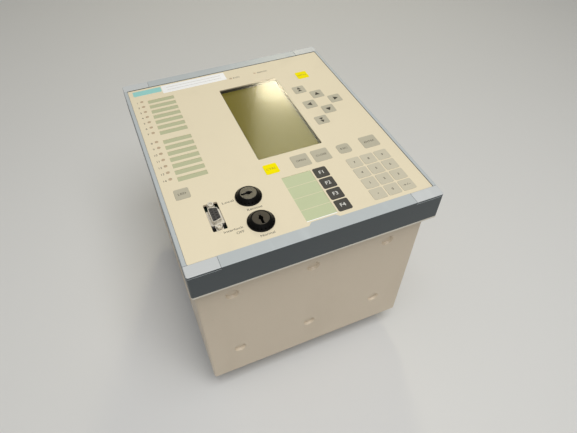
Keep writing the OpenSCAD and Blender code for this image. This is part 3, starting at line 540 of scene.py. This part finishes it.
def soft_slab(low, high, corner, rim):
    """A box with rounded upright edges and a softened upper rim."""
    bm = bmesh.new()
    bmesh.ops.create_cube(bm, size=1.0)
    bmesh.ops.scale(bm, verts=bm.verts, vec=high - low)
    bmesh.ops.translate(bm, verts=bm.verts, vec=(low + high) / 2)
    upright = [e for e in bm.edges if (e.verts[0].co - e.verts[1].co).xy.length < WELD]
    bevel(bm, upright, corner, CORNER_STEPS)
    if rim:
        upper = [e for e in bm.edges if all(high.z - v.co.z < WELD for v in e.verts)]
        bevel(bm, upper, rim, RIM_STEPS)
    return bm


def round_bar(centre, radius, low, high, steps=BAR_STEPS):
    """An upright round bar between two heights."""
    bm = bmesh.new()
    bmesh.ops.create_cone(
        bm, cap_ends=True, segments=steps, radius1=radius, radius2=radius, depth=high - low
    )
    bmesh.ops.translate(bm, verts=bm.verts, vec=(centre.x, centre.y, (low + high) / 2))
    return bm


def words(text, centre, height, width=None, weight=0.0, rear=False):
    """Raised print of a word or a number, fitted to a width where one is given."""
    curve = bpy.data.curves.new("words", "FONT")
    curve.body = text
    curve.offset = weight
    curve.align_x = "CENTER"
    curve.align_y = "CENTER"
    holder = bpy.data.objects.new("words", curve)
    bpy.context.scene.collection.objects.link(holder)
    drawn = holder.evaluated_get(bpy.context.evaluated_depsgraph_get())
    mesh = bpy.data.meshes.new_from_object(drawn)
    bm = bmesh.new()
    bm.from_mesh(mesh)
    bpy.data.objects.remove(holder)
    bpy.data.curves.remove(curve)
    bpy.data.meshes.remove(mesh)
    bmesh.ops.remove_doubles(bm, verts=bm.verts, dist=WELD)
    low = Vector([min(v.co[axis] for v in bm.verts) for axis in range(3)])
    high = Vector([max(v.co[axis] for v in bm.verts) for axis in range(3)])
    tall = height / (high.y - low.y)
    wide = width / (high.x - low.x) if width else tall
    bmesh.ops.translate(bm, verts=bm.verts, vec=-(low + high) / 2)
    bmesh.ops.scale(bm, verts=bm.verts, vec=(wide, tall, 1.0))
    return raised(bm, centre, rear)


def bar(centre, width, height):
    """A raised printed bar."""
    bm = bmesh.new()
    bmesh.ops.create_grid(bm, x_segments=1, y_segments=1, size=0.5)
    bmesh.ops.scale(bm, verts=bm.verts, vec=(width, height, 1.0))
    return raised(bm, centre)


def arrow(centre, reach, turn):
    """A raised triangle that points along +Y, turned about its middle."""
    bm = bmesh.new()
    bmesh.ops.create_circle(bm, cap_ends=True, segments=3, radius=reach)
    bmesh.ops.rotate(bm, verts=bm.verts, matrix=Matrix.Rotation(turn, 3, "Z"))
    return raised(bm, centre)


def raised(bm, centre, rear=False):
    """Gives a flat mark its thickness and its place, facing the front or the rear."""
    height = sizes().print_height
    faces = list(bm.faces)
    grown = bmesh.ops.extrude_face_region(bm, geom=faces, use_keep_orig=True)["geom"]
    top = [v for v in grown if isinstance(v, bmesh.types.BMVert)]
    bmesh.ops.translate(bm, verts=top, vec=(0, 0, height))
    bmesh.ops.recalc_face_normals(bm, faces=bm.faces)
    if rear:
        bmesh.ops.rotate(bm, verts=bm.verts, matrix=Matrix.Rotation(math.pi, 3, "Y"))
    bmesh.ops.translate(bm, verts=bm.verts, vec=centre)
    return bm


def joined(parts):
    """One bmesh from several, each given with the index of its finish."""
    whole = bmesh.new()
    for part, index in parts:
        for face in part.faces:
            face.material_index = index
        mesh = bpy.data.meshes.new("part")
        part.to_mesh(mesh)
        part.free()
        whole.from_mesh(mesh)
        bpy.data.meshes.remove(mesh)
    return whole


def solid_of(node, edge=0.0):
    """A welded copy of a node's solids; its sharp edges are broken by a width in millimetres."""
    bm = bmesh.new()
    bm.from_mesh(frame["nodes"][node].data)
    bmesh.ops.remove_doubles(bm, verts=bm.verts, dist=WELD)
    bmesh.ops.dissolve_limit(bm, angle_limit=FLAT, verts=bm.verts, edges=bm.edges)
    if edge:
        sharp = [e for e in bm.edges if e.is_manifold and e.calc_face_angle() > SMOOTH_BELOW]
        bevel(bm, sharp, edge * MM, EDGE_STEPS)
    return bm


def piece(name, bm, finishes, body=ROOT_BODY, stands_for=()):
    """Makes an object from a bmesh, dresses it and lets it ride on a body."""
    mesh = bpy.data.meshes.new(name)
    bm.to_mesh(mesh)
    bm.free()
    for finish in finishes:
        mesh.materials.append(finish_named(finish))
    mesh.shade_smooth()
    mesh.set_sharp_from_angle(angle=SMOOTH_BELOW)
    made = bpy.data.objects.new(name, mesh)
    made.modifiers.new("even_shading", "WEIGHTED_NORMAL").keep_sharp = True
    bpy.context.scene.collection.objects.link(made)
    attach(made, body)
    if stands_for:
        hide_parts(*stands_for)


def refine(node, finish, edge, body=ROOT_BODY, front=None):
    """Shows a node as a copy with broken edges; what faces forward may get a lighter copy of its
    finish, a painted sheen.
    """
    bm = solid_of(node, edge)
    finishes = [finish]
    if front:
        finishes.append(front)
        bm.normal_update()
        # Forward faces take the lighter finish: painted sheen
        for face in bm.faces:
            face.material_index = int(face.normal.z > SHEEN_FACING)
    piece(node + "_finished", bm, finishes, body, [node])


def dress(node, finish):
    """Gives a node that keeps its own mesh its finish."""
    materials = frame["nodes"][node].data.materials
    materials.clear()
    materials.append(finish_named(finish))


def on_front(u, v, height=0.0):
    """A point above the film, from its distances to the left and the top edge in millimetres."""
    return Vector((FRONT_LOW.x + u * MM, FRONT_HIGH.y - v * MM, FILM_TOP + height))


# Pieces

class RELAY_OT_front_frame(bpy.types.Operator):
    """Moulded front frame and its four corner covers"""

    bl_idname = "relay.front_frame"
    bl_label = "Front frame"

    def execute(self, context):
        # Forward faces of frame and covers get lighter copies of the side plastic: painted sheen
        refine("front_frame", "frame_side", edge=0.2, front="frame_front")
        refine("corner_covers", "frame_side", edge=0.12, front="cover_front")
        return {"FINISHED"}


class RELAY_OT_front_film(bpy.types.Operator):
    """Printed film, its words and numbers, the bare name plate and the bare sticker"""

    bl_idname = "relay.front_film"
    bl_label = "Front film"

    # Words on the film: text, left end, right end and middle down from the top, in millimetres
    WORDS = (
        ("RUN", 115.6, 122.6, 28.4),
        ("ERROR", 143.6, 155.0, 28.4),
        ("Local", 47.0, 57.0, 204.0),
        ("Remote", 64.0, 77.0, 219.0),
        ("Interlock", 39.0, 55.0, 234.5),
        ("OFF", 48.0, 54.5, 239.0),
        ("Normal", 64.5, 76.5, 249.0),
    )
    # Middle of the numbers from the left edge, in millimetres
    NUMBER_U = 9.5
    LAMPS = 14
    LAMPS_IN_GROUP = 7
    # Middles of plate and sticker from the left and the top edge, in millimetres
    PLATE_AT = (23.0, 19.3)
    STICKER_AT = (73.5, 20.9)
    SHEET_CORNER = 0.6 * MM
    SHEET_RIM = 0.04 * MM
    # Ruled lines: places in the sticker's height and length in its width, as shares
    STICKER_LINES = (-0.17, 0.17)
    STICKER_LINE = 0.86

    def execute(self, context):
        size = sizes()
        dress("front_foil", "front_film")
        print_parts = []
        for text, left, right, v in self.WORDS:
            place = on_front((left + right) / 2, v)
            mark = words(text, place, size.word_height, (right - left) * MM)
            print_parts.append((mark, 0))
        for lamp in range(self.LAMPS):
            group, row = divmod(lamp, self.LAMPS_IN_GROUP)
            down = size.number_first + group * size.number_group + row * size.number_pitch
            place = on_front(self.NUMBER_U, down / MM)
            print_parts.append((words(str(lamp + 1), place, size.number_height), 0))
        piece("film_print", joined(print_parts), ["ink"])
        plate = self.sheet(self.PLATE_AT, size.plate_width, size.plate_height)
        piece("name_plate", plate, ["name_plate"])
        sticker = [(self.sheet(self.STICKER_AT, size.sticker_width, size.sticker_height), 0)]
        top = on_front(*self.STICKER_AT, size.sheet_thickness)
        for row in self.STICKER_LINES:
            place = top + Vector((0, row * size.sticker_height, 0))
            span = size.sticker_width * self.STICKER_LINE
            sticker.append((bar(place, span, size.line_width), 1))
        piece("paper_sticker", joined(sticker), ["sticker_paper", "faint_ink"])
        return {"FINISHED"}

    def sheet(self, place, width, height):
        """A bare sheet on the film."""
        middle = on_front(*place)
        half = Vector((width / 2, height / 2, 0))
        top = Vector((0, 0, sizes().sheet_thickness))
        return soft_slab(middle - half, middle + half + top, self.SHEET_CORNER, self.SHEET_RIM)


class RELAY_OT_keys(bpy.types.Operator):
    """Film-topped key caps with their marks, each on its own body"""

    bl_idname = "relay.keys"
    bl_label = "Keys"

    # Legends; a keypad key without one shows its name
    LEGENDS = {
        "menu": "MENU", "ctrl": "CTRL", "lamp": "LED", "open": "OPEN", "close": "CLOSE",
        "escape": "ESC", "enter": "ENTER", "f1": "F1", "f2": "F2", "f3": "F3", "f4": "F4",
        "sign": "+/-",
    }
    # Arrow keys: how far the arrow is turned from the top edge, and how many arrows
    ARROW_KEYS = {
        "up": (0, 1), "left": (90, 1), "down": (180, 1), "right": (270, 1),
        "page_up": (0, 2), "page_down": (180, 2),
    }
    YELLOW = ("menu", "ctrl")
    DARK = ("f1", "f2", "f3", "f4")
    COMMANDS = ("lamp", "open", "close", "escape", "enter")
    # Reach of one arrow and of each of two, and their distance from the middle
    ARROW_REACH = 3.3 * MM
    PAIR_REACH = 2.4 * MM
    PAIR_OFFSET = 1.9 * MM
    POINT_RADIUS = 0.5 * MM
    POINT_STEPS = 16
    # Words: width for each letter and the most in all; the shortest has three letters
    LETTER_WIDTH = 2.3 * MM
    WORD_WIDTH = 10.5 * MM
    WORD_LETTERS = 3
    # How much bolder the legends of function keys and keypad are than the font
    FUNCTION_WEIGHT = 0.01
    DIGIT_WEIGHT = 0.02

    def execute(self, context):
        for node in frame["nodes"]:
            if node.startswith("key_") and node != "key_switches":
                self.key(node)
        return {"FINISHED"}

    def key(self, node):
        """One key: cap, lip, stem and marks."""
        size = sizes()
        name = node.removeprefix("key_")
        low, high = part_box(node)
        lip = Vector((size.key_lip, size.key_lip, 0))
        corner = size.key_corner
        if name in self.DARK:
            corner = size.dark_corner
        elif name == "escape":
            corner = size.escape_corner
        lip_top = FILM_TOP - size.key_lip_top
        lip_foot = FILM_TOP - size.key_lip_depth
        middle = (low + high) / 2
        cap_low = Vector((low.x, low.y, lip_foot)) + lip
        lip_low = Vector((low.x, low.y, lip_foot))
        lip_high = Vector((high.x, high.y, lip_top))
        parts = [
            (soft_slab(cap_low, high - lip, corner, size.key_rim), 0),
            (soft_slab(lip_low, lip_high, corner + size.key_lip, 0), 0),
            (round_bar(middle, size.key_stem / 2, low.z, lip_foot), 0),
        ]
        top = Vector((middle.x, middle.y, high.z))
        parts += [(mark, 1) for mark in self.marks(name, top)]
        slot, finishes = "key_light", ["key_light", "ink"]
        if name in self.YELLOW:
            slot, finishes = "key_yellow", ["key_yellow", "olive_ink"]
        elif name in self.DARK:
            slot, finishes = "key_dark", ["key_dark", "pale_ink"]
        elif name in self.ARROW_KEYS:
            finishes = ["key_command", "dark_ink"]
        elif name in self.COMMANDS:
            finishes = ["key_command", "ink"]
        piece("cap_" + name, joined(parts), finishes, name + "_key", [node])

    def marks(self, name, top):
        """Printed marks on the top of a key."""
        if name in self.ARROW_KEYS:
            turn, count = self.ARROW_KEYS[name]
            offsets, reach = [0.0], self.ARROW_REACH
            if count == 2:
                offsets, reach = [-self.PAIR_OFFSET, self.PAIR_OFFSET], self.PAIR_REACH
            return [arrow(top + Vector((0, y, 0)), reach, math.radians(turn)) for y in offsets]
        if name == "point":
            upper = top.z + sizes().print_height
            return [round_bar(top, self.POINT_RADIUS, top.z, upper, self.POINT_STEPS)]
        text = self.LEGENDS.get(name, name)
        if name in self.DARK:
            return [words(text, top, sizes().function_height, weight=self.FUNCTION_WEIGHT)]
        if len(text) >= self.WORD_LETTERS:
            width = min(self.LETTER_WIDTH * len(text), self.WORD_WIDTH)
            return [words(text, top, sizes().command_height, width)]
        return [words(text, top, sizes().digit_height, weight=self.DIGIT_WEIGHT)]


class RELAY_OT_display(bpy.types.Operator):
    """Display: clear pane, and behind it the black liner and the olive field"""

    bl_idname = "relay.display"
    bl_label = "Display"

    def execute(self, context):
        refine("display_liner", "black_plastic", edge=0.1)
        dress("display_pane", "clear_pane")
        dress("display_module", "display_field")
        return {"FINISHED"}


class RELAY_OT_indicators(bpy.types.Operator):
    """Lamps and the label strips beside them"""

    bl_idname = "relay.indicators"
    bl_label = "Indicators"

    def execute(self, context):
        refine("indicator_lamps", "lamp_lens", edge=0.15)
        self.strips()
        self.strip_lines()
        return {"FINISHED"}

    @staticmethod
    def strips():
        """Label strips: those of the lamps on the left, that of the function keys on the right."""
        low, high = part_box("label_strips")
        bm = solid_of("label_strips")
        for face in bm.faces:
            face.material_index = int(face.calc_center_median().x > (low.x + high.x) / 2)
        finishes = ["label_film", "function_label"]
        piece("label_strips_finished", bm, finishes, stands_for=["label_strips"])

    @staticmethod
    def strip_lines():
        """Printed lines between the four labels of the function strip, and at its foot a pale bar
        that is a painted highlight of its cut edge.
        """
        size = sizes()
        low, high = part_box("label_strips")
        middle = high.x - size.strip_border - size.strip_width / 2
        lines = []
        for upper in (1, 2, 3):
            y = (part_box(f"key_f{upper}")[0].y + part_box(f"key_f{upper + 1}")[1].y) / 2
            lines.append((bar(Vector((middle, y, high.z)), size.strip_width, size.line_width), 0))
        # Pale bar at the strip's foot: painted highlight of the strip's cut edge
        foot = low.y + size.strip_border + size.strip_end_highlight / 2
        lines.append((bar(Vector((middle, foot, high.z)), size.strip_width, size.strip_end_highlight), 1))
        piece("strip_lines", joined(lines), ["front_film", "sticker_paper"])


class RELAY_OT_locks(bpy.types.Operator):
    """Two key locks: fluted collars and the rotors that turn in them"""

    bl_idname = "relay.locks"
    bl_label = "Key locks"

    def execute(self, context):
        # The upper lock's rotor takes the lighter rotor colour: painted highlight
        for lock, face in (("local_lock", "worn_rotor"), ("interlock_lock", "rotor_metal")):
            refine(lock + "_barrel", "black_plastic", edge=0.15)
            refine(lock + "_rotor", face, edge=0.15, body=lock)
        return {"FINISHED"}


class RELAY_OT_service_port(bpy.types.Operator):
    """Nine-pin service port with its jack posts"""

    bl_idname = "relay.service_port"
    bl_label = "Service port"

    def execute(self, context):
        refine("port_shell", "bright_tin", edge=0.1)
        refine("port_insert", "insert_plastic", edge=0.1)
        refine("port_jack_posts", "bright_tin", edge=0.12)
        return {"FINISHED"}


class RELAY_OT_case(bpy.types.Operator):
    """Painted sheet case, rear plate, panel flange, screws and earth stud"""

    bl_idname = "relay.case"
    bl_label = "Case"

    def execute(self, context):
        refine("case_shell", "case_paint", edge=0.25)
        refine("rear_plate", "case_paint", edge=0.2)
        refine("panel_flange", "bright_tin", edge=0.2)
        refine("case_screws", "plated_steel", edge=0.15)
        refine("earth_stud", "brass", edge=0.2)
        return {"FINISHED"}


class RELAY_OT_terminals(bpy.types.Operator):
    """Terminal blocks at the rear and their screws"""

    bl_idname = "relay.terminals"
    bl_label = "Terminals"

    # Rows of a block and their distance, middles of the blocks, and the numbers' places on them
    ROWS = 6
    ROW_PITCH = 94.0 / ROWS * MM
    BLOCK_Y = 51.0 * MM
    SCREW_X = 14.5 * MM
    NUMBER_X = 20.0 * MM
    LEDGE = 12.0 * MM

    def execute(self, context):
        refine("terminal_blocks", "terminal_plastic", edge=0.3)
        refine("terminal_screws", "plated_steel", edge=0.2)
        self.numbers()
        return {"FINISHED"}

    def numbers(self):
        """Numbers on the ledges, beside the screws of each block."""
        record = frame["record"]
        places = [m["pos_m"] for m in record["mounts"] if m["name"].startswith("terminals_")]
        marks = []
        for x, _, _ in places:
            for block, side, row in itertools.product((-1, 1), (-1, 1), range(self.ROWS)):
                y = block * self.BLOCK_Y + (self.ROWS / 2 - 0.5 - row) * self.ROW_PITCH
                place = Vector((x - self.SCREW_X + side * self.NUMBER_X, y, self.LEDGE))
                text = str(row + 1 + (self.ROWS if side < 0 else 0))
                marks.append((words(text, place, sizes().terminal_number, rear=True), 0))
        piece("terminal_numbers", joined(marks), ["pale_ink"])


class RELAY_OT_insides(bpy.types.Operator):
    """Plate, boards, guides and switches behind the front"""

    bl_idname = "relay.insides"
    bl_label = "Insides"

    FINISH_OF = {
        "front_plate": "case_paint",
        "operator_board": "circuit_board",
        "processor_board": "circuit_board",
        "input_output_board": "circuit_board",
        "power_supply_board": "circuit_board",
        "key_switches": "black_plastic",
        "lock_nuts": "plated_steel",
        "lock_contact_blocks": "black_plastic",
        "card_guides": "guide_plastic",
    }

    def execute(self, context):
        for node, finish in self.FINISH_OF.items():
            dress(node, finish)
        return {"FINISHED"}


class RELAY_OT_stage(bpy.types.Operator):
    """Plain floor, soft studio light and the camera"""

    bl_idname = "relay.stage"
    bl_label = "Stage"

    # Half of the floor's side in metres, and the width of the camera's sensor in millimetres
    FLOOR_HALF = 4.0
    SENSOR = 36.0
    # Each light: its place from the middle of the front, width, height and tint
    LIGHTS = {
        "key": ((-0.48, 0.08, 1.52), 1.0, 1.0, (1.0, 1.0, 1.0)),
        "fill": ((0.05, -0.54, 1.24), 0.8, 0.8, (1.0, 1.0, 1.0)),
        "window": ((0.458, 0.99, 0.85), 0.275, 0.31, (1.0, 0.98, 0.7)),
        "lamp": ((0.55, 1.32, 0.85), 0.19, 0.11, (1.0, 0.89, 0.62)),
    }

    def execute(self, context):
        settings = context.scene.relay_stage
        target = Vector((0, 0, FRONT_HIGH.z))
        self.floor()
        self.sky(context.scene, settings.sky)
        for name, shape in self.LIGHTS.items():
            self.light(name + "_light", target, *shape, getattr(settings, name + "_power"))
        self.camera(context.scene, target, settings)
        context.scene.view_settings.view_transform = "Standard"
        return {"FINISHED"}

    def floor(self):
        bm = bmesh.new()
        bmesh.ops.create_grid(bm, x_segments=1, y_segments=1, size=self.FLOOR_HALF)
        mesh = bpy.data.meshes.new("floor")
        bm.to_mesh(mesh)
        bm.free()
        finish = Finish("floor_paper")
        tone = finish.noise(3.0, 2.0)
        tint = colours().floor
        mesh.materials.append(finish.surface({
            "Base Color": finish.mix(shade(tint, 0.99), shade(tint, 1.01), tone),
            "Roughness": 0.8,
            "Specular IOR Level": 0.2,
        }))
        ground = bpy.data.objects.new("floor", mesh)
        bpy.context.scene.collection.objects.link(ground)

    @staticmethod
    def sky(scene, strength):
        world = bpy.data.worlds.new("studio")
        world.use_nodes = True
        background = world.node_tree.nodes["Background"]
        background.inputs["Color"].default_value = (1.0, 1.0, 1.0, 1.0)
        background.inputs["Strength"].default_value = strength
        scene.world = world

    @staticmethod
    def light(name, target, place, width, height, tint, watts):
        source = bpy.data.lights.new(name, "AREA")
        source.shape = "RECTANGLE"
        source.size = width
        source.size_y = height
        source.color = tint
        source.energy = watts
        holder = bpy.data.objects.new(name, source)
        holder.location = target + Vector(place)
        holder.rotation_euler = (-Vector(place)).to_track_quat("-Z", "Y").to_euler()
        bpy.context.scene.collection.objects.link(holder)

    def camera(self, scene, target, settings):
        lens = bpy.data.cameras.new("camera")
        lens.lens = settings.lens
        lens.sensor_width = self.SENSOR
        lens.sensor_fit = "HORIZONTAL"
        holder = bpy.data.objects.new("camera", lens)
        turn = Vector(settings.aim).to_track_quat("-Z", "Y") @ Quaternion((0, 0, 1), settings.roll)
        holder.matrix_world = Matrix.LocRotScale(target + Vector(settings.place), turn, None)
        scene.collection.objects.link(holder)
        scene.camera = holder


PIECE_OPERATORS = (
    RELAY_OT_stage,
    RELAY_OT_front_frame,
    RELAY_OT_front_film,
    RELAY_OT_keys,
    RELAY_OT_display,
    RELAY_OT_indicators,
    RELAY_OT_locks,
    RELAY_OT_service_port,
    RELAY_OT_case,
    RELAY_OT_terminals,
    RELAY_OT_insides,
)


class RELAY_PT_sidebar(bpy.types.Panel):
    """Relay settings and pieces"""

    bl_label = "Protection relay"
    bl_space_type = "VIEW_3D"
    bl_region_type = "UI"
    bl_category = "Relay"

    def draw(self, context):
        for group in (context.scene.relay_colours, context.scene.relay_sizes,
                      context.scene.relay_stage):
            box = self.layout.box()
            for name in group.__annotations__:
                box.prop(group, name)
        for operator in PIECE_OPERATORS:
            self.layout.operator(operator.bl_idname)


CLASSES = (RelayColours, RelaySizes, RelayStage, *PIECE_OPERATORS, RELAY_PT_sidebar)


def register():
    for kind in CLASSES:
        bpy.utils.register_class(kind)
    bpy.types.Scene.relay_colours = bpy.props.PointerProperty(type=RelayColours)
    bpy.types.Scene.relay_sizes = bpy.props.PointerProperty(type=RelaySizes)
    bpy.types.Scene.relay_stage = bpy.props.PointerProperty(type=RelayStage)


def unregister():
    del bpy.types.Scene.relay_stage
    del bpy.types.Scene.relay_sizes
    del bpy.types.Scene.relay_colours
    for kind in reversed(CLASSES):
        bpy.utils.unregister_class(kind)


def main():
    register()
    bpy.ops.relay.stage()
    bpy.ops.relay.front_frame()
    bpy.ops.relay.front_film()
    bpy.ops.relay.keys()
    bpy.ops.relay.display()
    bpy.ops.relay.indicators()
    bpy.ops.relay.locks()
    bpy.ops.relay.service_port()
    bpy.ops.relay.case()
    bpy.ops.relay.terminals()
    bpy.ops.relay.insides()


if __name__ == "__main__":
    main()
